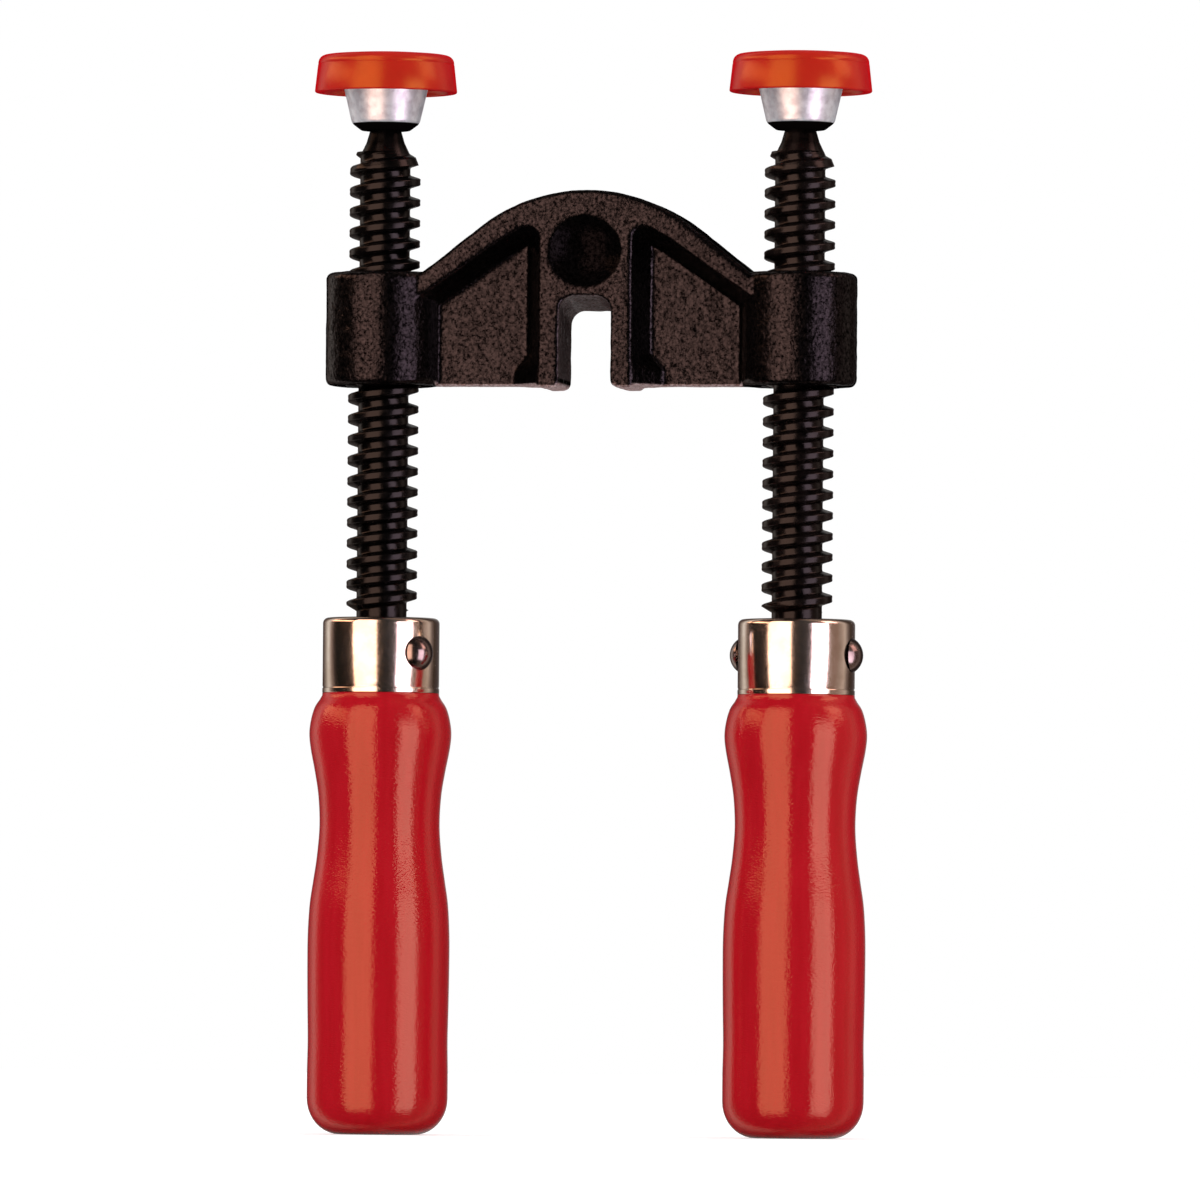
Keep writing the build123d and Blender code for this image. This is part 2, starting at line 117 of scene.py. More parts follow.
class NodeBuilder:
    """Short ways to add and join the shader nodes of one material or world."""

    def __init__(self, owner: Material | World) -> None:
        """Starts an empty node tree.

        Args:
            owner: What the nodes belong to.
        """
        owner.use_nodes = True
        self.owner = owner
        self.tree = owner.node_tree
        self.tree.nodes.clear()

    @classmethod
    def material(cls, name: str) -> "NodeBuilder":
        """Starts a new material of the given name."""
        return cls(bpy.data.materials.new(name))

    def node(
        self, kind: str, inputs: dict[str | int, Setting] | None = None, **settings: object
    ) -> bpy.types.Node:
        """Adds a node.

        Args:
            kind: The node's type name.
            inputs: What each input gets: an output that is joined to it, a colour or a number.
            **settings: Properties of the node itself.

        Returns:
            The new node.
        """
        made = self.tree.nodes.new(kind)
        for key, value in settings.items():
            setattr(made, key, value)
        for key, value in (inputs or {}).items():
            target = made.inputs[key]
            if isinstance(value, NodeSocket):
                self.tree.links.new(value, target)
            else:
                target.default_value = (*value, 1.0) if target.type == "RGBA" else value
        return made

    def mapped(self, scale: Point3 = (1.0, 1.0, 1.0)) -> NodeSocket:
        """Object coordinates in millimetres, stretched by a factor along each axis."""
        place = self.node("ShaderNodeTexCoord").outputs["Object"]
        return self.node("ShaderNodeMapping", {0: place, "Scale": Vector(scale) / MM}).outputs[0]

    def noise(
        self, place: NodeSocket, size: float, detail: float = 2.0, roughness: float = 0.5
    ) -> NodeSocket:
        """Noise with blotches of about a size in millimetres, on coordinates in millimetres."""
        inputs = {"Vector": place, "Scale": 1.0 / size, "Detail": detail, "Roughness": roughness}
        return self.node("ShaderNodeTexNoise", inputs).outputs["Fac"]

    def ramp(
        self, factor: NodeSocket, places: Sequence[float], colours: Sequence[Colour]
    ) -> NodeSocket:
        """A colour ramp.

        Args:
            factor: What the ramp reads.
            places: Position of each stop, in order.
            colours: Colour of each stop.

        Returns:
            The colour output.
        """
        made = self.node("ShaderNodeValToRGB", {"Fac": factor})
        elements = made.color_ramp.elements
        while len(elements) < len(places):
            elements.new(0.5)
        for element, position, colour in zip(elements, places, colours):
            element.position = position
            element.color = (*colour, 1.0)
        return made.outputs["Color"]

    def spread(self, factor: NodeSocket, low: float, high: float, span: Point2) -> NodeSocket:
        """Maps the part of a factor's range inside a span to values from low to high."""
        ends = {"From Min": span[0], "From Max": span[1], "To Min": low, "To Max": high}
        return self.node("ShaderNodeMapRange", {"Value": factor, **ends}).outputs["Result"]

    def combine(self, operation: str, first: Setting, second: Setting) -> NodeSocket:
        """The result of a math node's operation on two values."""
        return self.node("ShaderNodeMath", {0: first, 1: second}, operation=operation).outputs[0]

    def bump(self, height: NodeSocket, depth: float, below: NodeSocket | None = None) -> NodeSocket:
        """A bump whose whole range is a depth in millimetres, over a coarser one where given."""
        inputs = {"Height": height, "Distance": depth * MM} | ({"Normal": below} if below else {})
        return self.node("ShaderNodeBump", inputs).outputs[0]

    def facing(self) -> NodeSocket:
        """How far a surface turns away from the eye."""
        return self.node("ShaderNodeLayerWeight").outputs["Facing"]

    def attribute(self, name: str) -> NodeSocket:
        """A share that is stored on the mesh under a name."""
        return self.node("ShaderNodeAttribute", attribute_name=name).outputs["Fac"]

    def principled(self, inputs: dict[str, Setting]) -> NodeSocket:
        """A Principled shader with the inputs given."""
        return self.node("ShaderNodeBsdfPrincipled", inputs).outputs[0]

    def mix(self, share: Setting, first: Setting, second: Setting) -> NodeSocket:
        """A mix of two shaders: the first at a share of 0, the second at a share of 1."""
        return self.node("ShaderNodeMixShader", {0: share, 1: first, 2: second}).outputs[0]

    def finish(self, surface: NodeSocket) -> Material | World:
        """Sends a shader to the output and hands over the finished material or world."""
        self.node(f"ShaderNodeOutput{self.owner.rna_type.identifier}", {"Surface": surface})
        return self.owner


@dataclass(frozen=True)
class CastPaint:
    """Thin dark paint on a coarse sand-cast skin, with a lighter bare-iron colour as painted light
    from below on faces that look down, and gloss taken away as painted shade in recesses and on the
    bosses' right-hand sides.
    """

    name: str = "cast_paint"
    pit: Colour = (0.0004, 0.0003, 0.0003)
    crest: Colour = (0.0032, 0.0024, 0.0023)
    tint: Colour = (0.96, 0.87, 1.0)
    speckle: float = 0.62
    speckle_span: Point2 = (0.40, 0.62)
    grain: float = 0.8
    grain_depth: float = 0.085
    fine_grain: float = 0.3
    fine_depth: float = 0.03
    roughness: float = 0.22
    specular: Point2 = (0.01, 0.36)
    side_span: Point2 = (0.70, 0.82)
    pooled: str = "pooled"
    ground: str = "ground"
    underlight: Colour = (0.78, 0.62, 0.63)
    underlight_dark: Colour = (0.24, 0.14, 0.13)
    underlight_metallic: float = 0.35
    underlight_roughness: float = 0.42

    def build(self) -> Material:
        """Makes the material.

        Returns:
            The material.
        """
        b = NodeBuilder.material(self.name)
        place = b.mapped()
        speckles = b.noise(place, self.speckle, detail=4.0, roughness=0.8)
        grains = b.noise(place, self.grain, detail=1.0)
        fine = b.noise(place, self.fine_grain)
        gloss = b.spread(speckles, *self.specular, self.speckle_span)
        # Painted shade: the stored share takes the gloss away in the dish, on the pockets' walls
        # and on the bosses' right-hand sides; facing only dulls grazing gloss.
        for dull, span in ((b.facing(), self.side_span), (b.attribute(self.pooled), WHOLE)):
            gloss = b.combine("MULTIPLY", gloss, b.spread(dull, 1.0, 0.0, span))
        paint = b.principled({
            "Base Color": b.ramp(speckles, self.speckle_span, (self.pit, self.crest)),
            "Roughness": self.roughness,
            "Specular IOR Level": gloss,
            "Specular Tint": self.tint,
            "Normal": b.bump(fine, self.fine_depth, b.bump(grains, self.grain_depth)),
        })
        # Painted light from below: a lighter bare-iron colour, mixed in on faces that look down.
        underlight = b.principled({
            "Base Color": b.ramp(speckles, self.speckle_span, (self.underlight_dark, self.underlight)),
            "Metallic": self.underlight_metallic,
            "Roughness": self.underlight_roughness,
            "Specular IOR Level": 0.0,
            "Normal": b.bump(fine, self.fine_depth),
        })
        return b.finish(b.mix(b.attribute(self.ground), paint, underlight))


@dataclass(frozen=True)
class BlackSteel:
    """Blackened, oiled steel of the rolled screws."""

    name: str
    dark: Colour = (0.0006, 0.0005, 0.0005)
    light: Colour = (0.004, 0.003, 0.003)
    tint: Colour = (1.0, 0.96, 1.0)
    blotch: float = 2.2
    blotch_span: Point2 = (0.35, 0.68)
    mark: float = 0.3
    mark_depth: float = 0.02
    roughness: Point2 = (0.12, 0.26)
    specular: float = 0.18
    greased: str = "greased"
    greased_specular: float = 0.0216

    def build(self) -> Material:
        """Makes the material.

        Returns:
            The material.
        """
        b = NodeBuilder.material(self.name)
        place = b.mapped()
        blotches = b.noise(place, self.blotch, detail=4.0, roughness=0.6)
        grease = b.attribute(self.greased)
        steel = b.principled({
            "Base Color": b.ramp(blotches, self.blotch_span, (self.dark, self.light)),
            "Roughness": b.spread(blotches, *self.roughness, MIDDLE),
            "Specular IOR Level": b.spread(grease, self.specular, self.greased_specular, WHOLE),
            "Specular Tint": self.tint,
            "Normal": b.bump(b.noise(place, self.mark), self.mark_depth),
        })
        return b.finish(steel)


@dataclass(frozen=True)
class PlatedMetal:
    """Bright plated metal with fine turning or drawing marks along one axis, and a near-black matt
    painted shade where the mesh marks it.
    """

    name: str
    colour: Colour
    tarnish: Colour
    roughness: Point2
    line: Colour = (0.25, 0.25, 8.0)
    line_depth: float = 0.004
    blotch: float = 5.0
    blotch_span: Point2 = (0.35, 0.6)
    oiled: str = "oiled"
    lip_shade: Colour = (0.003, 0.002, 0.002)
    metallic: float = 1.0

    def build(self) -> Material:
        """Makes the material.

        Returns:
            The material.
        """
        b = NodeBuilder.material(self.name)
        lines = b.noise(b.mapped(self.line), 1.0)
        blotches = b.noise(b.mapped(), self.blotch, detail=3.0)
        metal = b.principled({
            "Base Color": b.ramp(blotches, self.blotch_span, (self.tarnish, self.colour)),
            "Metallic": self.metallic,
            "Roughness": b.spread(lines, *self.roughness, MIDDLE),
            "Normal": b.bump(lines, self.line_depth),
        })
        # Painted shade: a near-black matt sheet mixed in where the stored share marks the plate's
        # lip.
        shade_sheet = b.node("ShaderNodeBsdfDiffuse", {"Color": self.lip_shade})
        return b.finish(b.mix(b.attribute(self.oiled), metal, shade_sheet.outputs[0]))


@dataclass(frozen=True)
class Lacquer:
    """Thick red gloss lacquer over turned wood, with orange peel and a trace of the grain."""

    name: str = "red_lacquer"
    deep: Colour = (0.52, 0.008, 0.0155)
    bright: Colour = (0.57, 0.010, 0.0195)
    sheen: Colour = (1.0, 0.82, 0.50)
    grain: Point3 = (0.55, 0.55, 0.05)
    grain_span: Point2 = (0.35, 0.65)
    grain_depth: float = 0.03
    peel: float = 0.5
    peel_stretch: Colour = (0.7, 0.7, 1.8)
    peel_depth: float = 0.058
    roughness: float = 0.06

    def build(self) -> Material:
        """Makes the material.

        Returns:
            The material.
        """
        b = NodeBuilder.material(self.name)
        grains = b.noise(b.mapped(self.grain), 1.0, detail=3.0)
        peel = b.noise(b.mapped(self.peel_stretch), self.peel)
        lacquer = b.principled({
            "Base Color": b.ramp(grains, self.grain_span, (self.deep, self.bright)),
            "Roughness": self.roughness,
            "Specular Tint": self.sheen,
            "Normal": b.bump(peel, self.peel_depth, b.bump(grains, self.grain_depth)),
        })
        return b.finish(lacquer)


@dataclass(frozen=True)
class MouldedPlastic:
    """Semi-gloss moulded plastic, a little translucent, with a fine eroded texture."""

    name: str = "cap_plastic"
    dark: Colour = (0.57, 0.006, 0.010)
    light: Colour = (0.63, 0.008, 0.011)
    sheen: Colour = (1.0, 0.92, 0.13)
    blotch: float = 5.0
    blotch_span: Point2 = (0.35, 0.7)
    texture: float = 0.35
    texture_depth: float = 0.012
    roughness: float = 0.26
    specular: float = 0.46
    side_span: Point2 = (0.45, 0.75)
    subsurface: float = 0.15
    subsurface_depth: float = 1.2
    subsurface_radius: Colour = (1.0, 0.25, 0.1)

    def build(self) -> Material:
        """Makes the material.

        Returns:
            The material.
        """
        b = NodeBuilder.material(self.name)
        place = b.mapped()
        blotches = b.noise(place, self.blotch)
        plastic = b.principled({
            "Base Color": b.ramp(blotches, self.blotch_span, (self.dark, self.light)),
            "Roughness": self.roughness,
            "Specular IOR Level": b.spread(b.facing(), self.specular, 0.0, self.side_span),
            "Specular Tint": self.sheen,
            "Subsurface Weight": self.subsurface,
            "Subsurface Scale": self.subsurface_depth * MM,
            "Subsurface Radius": self.subsurface_radius,
            "Normal": b.bump(b.noise(place, self.texture), self.texture_depth),
        })
        return b.finish(plastic)


def share_between(value: float, low: float, high: float) -> float:
    """How far a value lies on the way from low to high, held between 0 and 1."""
    return min(1.0, max(0.0, (value - low) / (high - low)))


def show(name: str, data: bpy.types.ID) -> Object:
    """Puts a mesh, light or camera into the scene.

    Args:
        name: The object's name.
        data: What it shows.

    Returns:
        The new object.
    """
    made = bpy.data.objects.new(name, data)
    bpy.context.scene.collection.objects.link(made)
    return made


def show_panel(name: str, half: float, material: Material, matrix: Matrix) -> Object:
    """Puts a square sheet that isn't part of the clamp into the scene.

    Args:
        name: The object's name.
        half: Half the side of the square, in metres.
        material: Its finish.
        matrix: What its corners are moved by.

    Returns:
        The new object.
    """
    bm = bmesh.new()
    bmesh.ops.create_grid(bm, x_segments=1, y_segments=1, size=half, matrix=matrix)
    mesh = bpy.data.meshes.new(name)
    bm.to_mesh(mesh)
    bm.free()
    mesh.materials.append(material)
    made = show(name, mesh)
    return made


def store(mesh: bpy.types.Mesh, name: str, share: Callable[[Vector, Vector], float]) -> None:
    """Stores a share between 0 and 1 at every vertex, which a material reads.

    Args:
        mesh: The mesh, in metres.
        name: The attribute's name.
        share: Gives it for a place in millimetres and the skin's direction there.
    """
    marks = mesh.attributes.new(name, "FLOAT", "POINT")
    for vert, mark in zip(mesh.vertices, marks.data):
        mark.value = share(vert.co / MM, vert.normal)


def arc(centre: float, radius: float, start: float, end: float, pieces: int) -> list[Point2]:
    """Radius and height of points on an arc, between angles above the horizontal in radians."""
    angles = [start + (end - start) * k / pieces for k in range(pieces + 1)]
    return [(radius * cos(a), centre + radius * sin(a)) for a in angles]


class Turning:
    """A bmesh turned round the Z axis from an outline of radius and height in millimetres."""

    def __init__(self, outline: Sequence[Point2], steps: int, closed: bool = False) -> None:
        """Spins the outline.

        Args:
            outline: Radius and height of each corner, in order.
            steps: Divisions of the full circle.
            closed: Whether the last corner joins the first.
        """
        self.bm = bmesh.new()
        ring = [self.bm.verts.new((r, 0.0, z)) for r, z in outline]
        path = ring + ring[:1] if closed else ring
        edges = [self.bm.edges.new(pair) for pair in zip(path, path[1:])]
        bmesh.ops.spin(
            self.bm, geom=ring + edges, axis=(0, 0, 1), angle=2 * pi, steps=steps, use_merge=True
        )
        bmesh.ops.remove_doubles(self.bm, verts=self.bm.verts, dist=WELD)
        bmesh.ops.recalc_face_normals(self.bm, faces=self.bm.faces)

    def round_ring(self, radius: float, height: float, width: float, segments: int) -> None:
        """Bevels the circular edge at a corner of the outline.

        Args:
            radius: The corner's radius.
            height: Its height.
            width: How far the rounding reaches.
            segments: Divisions of the rounding.
        """
        spots = ((vert, vert.co.xy.length - radius, vert.co.z - height) for vert in self.bm.verts)
        ring = {vert for vert, out, up in spots if max(abs(out), abs(up)) < NEAR}
        edges = [edge for edge in self.bm.edges if ring.issuperset(edge.verts)]
        bmesh.ops.bevel(
            self.bm, geom=edges, offset=width, offset_type="OFFSET", segments=segments,
            profile=0.5, affect="EDGES", clamp_overlap=True, material=-1,
        )

    def turn(self, matrix: Matrix) -> None:
        """Moves the whole mesh by a matrix in millimetres."""
        bmesh.ops.transform(self.bm, matrix=matrix, verts=self.bm.verts)

    def install(
        self, side: Side, name: str, material: Material, body: str, slot: str, node: str
    ) -> Object:
        """Makes the turning a piece that stands on a side's screw axis.

        Args:
            side: Which side. The names below leave it out.
            name: The piece's name.
            material: Its finish.
            body: The CAD body that it rides on.
            node: The CAD node that it replaces.

        Returns:
            The finished object.
        """
        self.turn(Matrix.Translation((LAYOUT.axis(side), 0, 0)))
        piece = make_piece(side.node(name), self.bm, material)
        install(piece, side.node(body), side.node(node))
        return piece


def make_piece(
    name: str, bm: bmesh.types.BMesh, material: Material, sharp_angle: float = 40.0
) -> Object:
    """Turns a bmesh in millimetres into a smooth object at the origin.

    Args:
        name: The piece's name.
        bm: The mesh, which is freed.
        material: Its finish.
        sharp_angle: Edges above this many degrees stay crisp.

    Returns:
        The new object.
    """
    bmesh.ops.transform(bm, matrix=Matrix.Scale(MM, 4), verts=bm.verts)
    bmesh.ops.recalc_face_normals(bm, faces=bm.faces)
    for face in bm.faces:
        face.smooth = True
    mesh = bpy.data.meshes.new(name)
    bm.to_mesh(mesh)
    bm.free()
    mesh.set_sharp_from_angle(angle=radians(sharp_angle))
    mesh.materials.append(material)
    return show(name, mesh)


def install(piece: Object, body: str, node: str) -> None:
    """Puts a piece on its body and hides the CAD node that it stands for.

    Args:
        piece: The finished object.
        body: The CAD body that it rides on.
        node: The CAD node that it replaces.
    """
    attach(piece, body)
    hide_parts(node)
    LOG.info("%s: %d faces on %s", piece.name, len(piece.data.polygons), body)


def curve_through(points: Sequence[Point2], divisions: int) -> list[Point2]:
    """A smooth curve through points, by Catmull-Rom tangents.

    Args:
        points: The points, first and last included.
        divisions: Pieces between one point and the next.

    Returns:
        The points of the curve.
    """
    path = [Vector((r, z)) for r, z in points]
    before = [path[0] * 2 - path[1], *path, path[-1] * 2 - path[-2]]
    made: list[Point2] = []
    for i in range(1, len(before) - 2):
        p0, p1, p2, p3 = before[i - 1 : i + 3]
        for k in range(divisions):
            t = k / divisions
            a = 2 * p1 + (p2 - p0) * t
            b = (2 * p0 - 5 * p1 + 4 * p2 - p3) * t * t
            c = (3 * p1 - p0 - 3 * p2 + p3) * t * t * t
            spot = (a + b + c) / 2
            made.append((spot.x, spot.y))
    made.append(points[-1])
    return made


@dataclass
class Casting:
    """The bridge: the CAD solid with softened cast edges and a lumpy sand-cast skin."""

    finish: CastPaint = CastPaint()
    voxel: float = 0.36
    smoothing: float = 0.5
    smoothing_rounds: int = 5
    lump: float = 3.2
    lump_depth: float = 0.16
    grit: float = 0.75
    grit_depth: float = 0.07
    web_reach: float = 30.0
    web_bottom: float = 145.7
    web_half: float = 8.2
    web_core: float = 2.2
    web_tilt: Point2 = (0.3, 0.6)
    slot_half: float = 5.9
    slot_roof: float = 163.0
    slot_tilt: float = 0.6
    roof_share: float = 0.24
    side_share: float = 0.11
    wall_reach: float = 29.5
    wall_share: float = 0.8
    wall_margin: float = 0.5
    wall_tilt: float = 0.8
    dish_centre: float = 170.3
    dish_radius: float = 7.1
    dish_share: float = 0.9
    boss_reach: float = 28.0
    boss_share: float = 0.35
    boss_side: Point2 = (0.05, 0.20)
    merge: float = 0.001
    boss_tilt: float = 0.5

    def ground_share(self, place: Vector, normal: Vector) -> float:
        """Painted light from below: how much lighter bare-iron colour goes on the web's underside
        and on the slot's walls and roof, more where the skin faces down.

        Args:
            place: The point, in millimetres.
            normal: The skin's direction there.

        Returns:
            A share between 0 and 1.
        """
        if abs(place.x) < self.web_reach and place.z < self.web_bottom:
            return share_between(-normal.z, *self.web_tilt)
        if self.in_slot(place) and abs(normal.y) < self.slot_tilt:
            return self.side_share + (self.roof_share - self.side_share) * max(0.0, -normal.z)
        return 0.0

    def in_slot(self, place: Vector) -> bool:
        """Whether a point, in millimetres, lies on the walls or roof of the bar slot."""
        return abs(place.x) < self.slot_half and place.z < self.slot_roof

    def pooled_share(self, place: Vector, normal: Vector) -> float:
        """Painted shade: how far the paint's gloss is taken away, most in the dish and on the
        pockets' walls, and partly on the fronts of the bosses where they face +X.

        Args:
            place: The point, in millimetres.
            normal: The skin's direction there.

        Returns:
            A share between 0 and 1.
        """
        if place.y < 0 and hypot(place.x, place.z - self.dish_centre) < self.dish_radius:
            return self.dish_share
        if abs(place.x) > self.boss_reach and place.y < 0 and abs(normal.z) < self.boss_tilt:
            return self.boss_share * share_between(normal.x, *self.boss_side)
        inner, outer = self.web_core + self.wall_margin, self.web_half - self.wall_margin
        on_wall = inner < abs(place.y) < outer and abs(place.x) < self.wall_reach
        on_wall = on_wall and abs(normal.y) < self.wall_tilt
        return self.wall_share if on_wall and not self.in_slot(place) else 0.0

    def displace(self, piece: Object, name: str, size: float, depth: float) -> None:
        """Adds noise that moves the skin in and out.

        Args:
            piece: The object to roughen.
            name: Name of the texture and modifier.
            size: Size of the lumps in millimetres.
            depth: Whole height of the lumps in millimetres.
        """
        texture = bpy.data.textures.new(name, "CLOUDS")
        texture.noise_scale = size * MM
        texture.noise_depth = 1
        modifier = piece.modifiers.new(name, "DISPLACE")
        modifier.texture = texture
        modifier.texture_coords = "LOCAL"
        modifier.strength = depth * MM
        modifier.mid_level = 0.5

    def build(self) -> None:
        """Makes the casting from a merged copy of the CAD bridge."""
        bm = bmesh.new()
        bm.from_mesh(frame["nodes"]["bridge"].data)
        bmesh.ops.remove_doubles(bm, verts=bm.verts, dist=self.merge * MM)
        bmesh.ops.transform(bm, matrix=Matrix.Scale(1 / MM, 4), verts=bm.verts)
        rough = make_piece("casting_rough", bm, self.finish.build())
        remesh = rough.modifiers.new("skin", "REMESH")
        remesh.mode = "VOXEL"
        remesh.voxel_size = self.voxel * MM
        remesh.use_smooth_shade = True
        soften = rough.modifiers.new("soften", "SMOOTH")
        soften.factor = self.smoothing
        soften.iterations = self.smoothing_rounds
        self.displace(rough, "lumps", self.lump, self.lump_depth)
        self.displace(rough, "grit", self.grit, self.grit_depth)
        evaluated = rough.evaluated_get(bpy.context.evaluated_depsgraph_get())
        mesh = bpy.data.meshes.new_from_object(evaluated)
        bpy.data.objects.remove(rough)
        mesh.name = "bridge_casting"
        for polygon in mesh.polygons:
            polygon.use_smooth = True
        # Painted light from below: lighter bare-iron colour on the web's underside and in the slot.
        store(mesh, self.finish.ground, self.ground_share)
        # Painted shade: gloss taken away in the dish, on the pockets' walls and on the bosses'
        # right-hand sides.
        store(mesh, self.finish.pooled, self.pooled_share)
        piece = show(mesh.name, mesh)
        install(piece, "bridge", "bridge")


@dataclass
class Screw:
    """A rolled trapezoidal screw with its turned neck, ball end and shank."""

    side: Side
    finish: BlackSteel
    start: float
    major: float = 6.85
    core: float = 4.85
    pitch: float = 4.0
    crest: float = 1.3
    root: float = 1.5
    edge: float = 0.22
    fillet: float = 0.3
    turn_steps: int = 60
    foot_bevel: float = 1.2
    tip_bevel: float = 3.4
    tip_rise: float = 0.6
    tip: float = 5.5
    burr: float = 0.05
    ball: float = 4.2
    neck: float = 3.0
    taper_top: float = 3.7
    shank_bottom: float = 47.7
    sink: float = 0.3
    sink_step: float = 0.1
    weld: float = 2e-3
    shank_bevel: float = 0.8
    stem_steps: int = 48
    ball_steps: int = 20
    sharp_angle: float = 50.0

    def profile(self) -> list[Point2]:
        """One pitch of the thread, from where its lower flank leaves the core.

        Returns:
            Radius and height of each corner.
        """
        flank = (self.pitch - self.crest - self.root) / 2
        e, f = self.edge, self.fillet
        slope = (self.major - self.core) / flank
        lower = [
            (self.core, -f),
            (self.core + f * 0.25, -f * 0.1),
            (self.core + f * 1.2, f * 1.2 / slope),
            (self.major - e * 1.3, flank - e * 1.3 / slope),
            (self.major - e * 0.3, flank + e * 0.15),
            (self.major, flank + e),
        ]
        middle = flank + self.crest / 2
        upper = [(radius, 2 * middle - height) for radius, height in reversed(lower)]
        crest = (self.major - self.burr, middle)
        return [*lower, crest, *upper, (self.core, self.pitch - f)]

    def cone(self, height: float) -> float:
        """Radius of the core at a height, which narrows above the thread."""
        share = share_between(height, LAYOUT.thread_top, LAYOUT.taper_top)
        return self.core - (self.core - self.taper_top) * share

    def envelope(self, height: float) -> float:
        """Largest radius of the thread, which fades out at the foot and is bevelled at the tip.

        Args:
            height: Height in millimetres.

        Returns:
            The radius in millimetres.
        """
        bottom, top = LAYOUT.thread_bottom, self.thread_end()
        foot = share_between(height, bottom, bottom + self.foot_bevel)
        tip = share_between(height, top, top - self.tip_bevel)
        low = self.core + (self.major - self.core) * foot
        return min(low, self.tip + (self.major - self.tip) * tip)

    def thread_end(self) -> float:
        """Height at which the thread is cut off, a little up the taper."""
        return LAYOUT.thread_top + self.tip_rise

    def thread(self) -> bmesh.types.BMesh:
        """Winds the threaded length by a spin that climbs, and trims it to its envelope.

        Returns:
            The mesh in millimetres, open where the stem goes through.
        """
        bottom, top = LAYOUT.thread_bottom, self.thread_end()
        turns = ceil((top - bottom) / self.pitch) + 2
        bm = bmesh.new()
        foot = bottom - self.pitch
        ring = [bm.verts.new((r, 0.0, foot + z)) for r, z in self.profile()]
        edges = [bm.edges.new(pair) for pair in zip(ring, ring[1:])]
        bmesh.ops.spin(
            bm,
            geom=ring + edges,
            axis=(0, 0, 1),
            dvec=(0, 0, self.pitch / self.turn_steps),
            angle=2 * pi * turns,
            steps=turns * self.turn_steps,
        )
        bmesh.ops.remove_doubles(bm, verts=bm.verts, dist=self.weld)
        for height, normal in ((bottom, (0, 0, -1)), (top, (0, 0, 1))):
            cut = bmesh.ops.bisect_plane(
                bm,
                geom=[*bm.verts, *bm.edges, *bm.faces],
                plane_co=(0, 0, height),
                plane_no=normal,
                clear_outer=True,
            )
            rim = [e for e in cut["geom_cut"] if isinstance(e, bmesh.types.BMEdge)]
            bmesh.ops.edgeloop_fill(bm, edges=rim)
        for vert in bm.verts:
            radius = vert.co.xy.length
            on_core = radius < self.core + self.weld / 2
            limit = self.cone(vert.co.z) if on_core else self.envelope(vert.co.z)
            if radius > limit:
                vert.co.x *= limit / radius
                vert.co.y *= limit / radius
        turn = Matrix.Rotation(radians(self.start), 4, "Z")
        bmesh.ops.transform(bm, matrix=turn, verts=bm.verts)
        return bm

    def stem(self) -> bmesh.types.BMesh:
        """Turns shank, core, neck and ball as one outline.

        Returns:
            The mesh in millimetres.
        """
        centre = LAYOUT.ball_centre
        neck_angle = asin(self.neck / self.ball) - pi / 2
        inner = self.core - self.sink
        outline = [
            (0.0, self.shank_bottom),
            (self.core - self.shank_bevel, self.shank_bottom),
            (self.core, self.shank_bottom + self.shank_bevel),
            (self.core, LAYOUT.thread_bottom),
            (inner, LAYOUT.thread_bottom + self.sink_step),
            (inner, LAYOUT.thread_top - self.sink_step),
            (self.core, LAYOUT.thread_top),
            (self.taper_top, LAYOUT.taper_top),
            (self.neck, LAYOUT.cup_bottom),
            *arc(centre, self.ball, neck_angle, pi / 2, self.ball_steps)[:-1],
            (0.0, centre + self.ball),
        ]
        return Turning(outline, self.stem_steps).bm

    def build(self) -> None:
        """Makes the screw."""
        whole = self.thread()
        stem = self.stem()
        mesh = bpy.data.meshes.new("stem")
        stem.to_mesh(mesh)
        stem.free()
        whole.from_mesh(mesh)
        bpy.data.meshes.remove(mesh)
        place = Matrix.Translation((LAYOUT.axis(self.side), 0, 0))
        bmesh.ops.transform(whole, matrix=place, verts=whole.verts)
        piece = make_piece(self.side.node("screw"), whole, self.finish.build(), self.sharp_angle)
        end = self.thread_end()
        store(piece.data, self.finish.greased, lambda place, _: float(place.z > end))
        install(piece, self.side.node("screw"), self.side.node("spindle"))


@dataclass
class Handle:
    """The turned handle with its lacquer."""

    side: Side
    material: Material
    end_flat: float = 7.25
    foot_height: float = 7.0
    divisions: int = 5
    steps: int = 96
    tenon: float = 10.35
    neck: float = 11.3
    neck_length: float = 0.4
    tenon_gap: float = 1.0
    outline: tuple[Point2, ...] = (
        (13.6, 7.0), (13.6, 12.0), (13.5, 18.0), (13.62, 25.0), (13.7, 32.0), (13.68, 38.5),
        (13.35, 44.4), (12.7, 49.0), (12.04, 53.7), (11.6, 59.5), (11.85, 65.2), (12.55, 69.8),
        (13.4, 74.2), (13.72, 77.2), (13.45, 79.8), (12.75, 82.3), (11.75, 83.9),
    )

    def build(self) -> None:
        """Makes the handle."""
        widest = self.outline[0][0]
        foot = [
            (
                self.end_flat + (widest - self.end_flat) * sin(radians(a)),
                self.foot_height * (1 - cos(radians(a))),
            )
            for a in range(0, 90, 9)
        ]
        top = LAYOUT.ferrule_bottom
        tenon_top = LAYOUT.ferrule_top - self.tenon_gap
        corners = [
            (0.0, 0.0),
            *foot,
            *curve_through(self.outline, self.divisions),
            (self.neck, top - self.neck_length),
            (self.neck, top),
            (self.tenon, top),
            (self.tenon, tenon_top),
            (0.0, tenon_top),
        ]
        turned = Turning(corners, self.steps)
        turned.install(self.side, "grip", self.material, "screw", "handle_wood", "handle")


